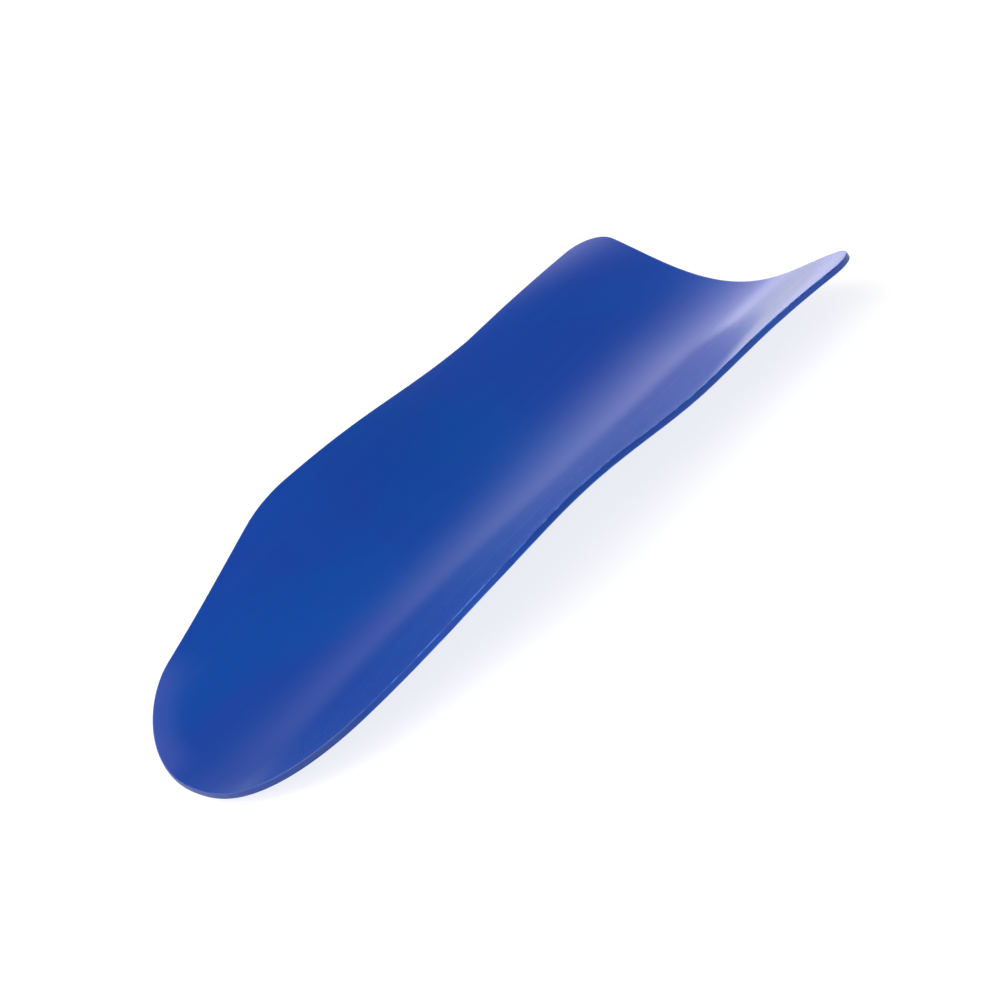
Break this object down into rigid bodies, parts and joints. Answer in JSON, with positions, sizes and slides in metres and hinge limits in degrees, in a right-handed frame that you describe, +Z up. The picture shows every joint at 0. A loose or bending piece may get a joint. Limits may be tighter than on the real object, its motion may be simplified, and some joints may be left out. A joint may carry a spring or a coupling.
{
  "type": "sock aid",
  "caption": "Shallow plastic gutter with a rounded toe, soft shoulders and waist and a scooped open end, that holds a sock open while a foot slides in.",
  "frame": {"origin": "on the resting plane, under the middle of the gutter's outer size", "axes": "+Y along the gutter from the rounded toe to the scooped end, +Z up out of the open side, +X to the right when looking along +Y"},
  "size_m": [0.1328, 0.2526, 0.0268],
  "materials": {
    "blue_plastic": "semi-gloss dark blue sheet"
  },
  "bodies": {
    "root": {"sock_aid_trough": "blue_plastic"}
  },
  "joints": []
}
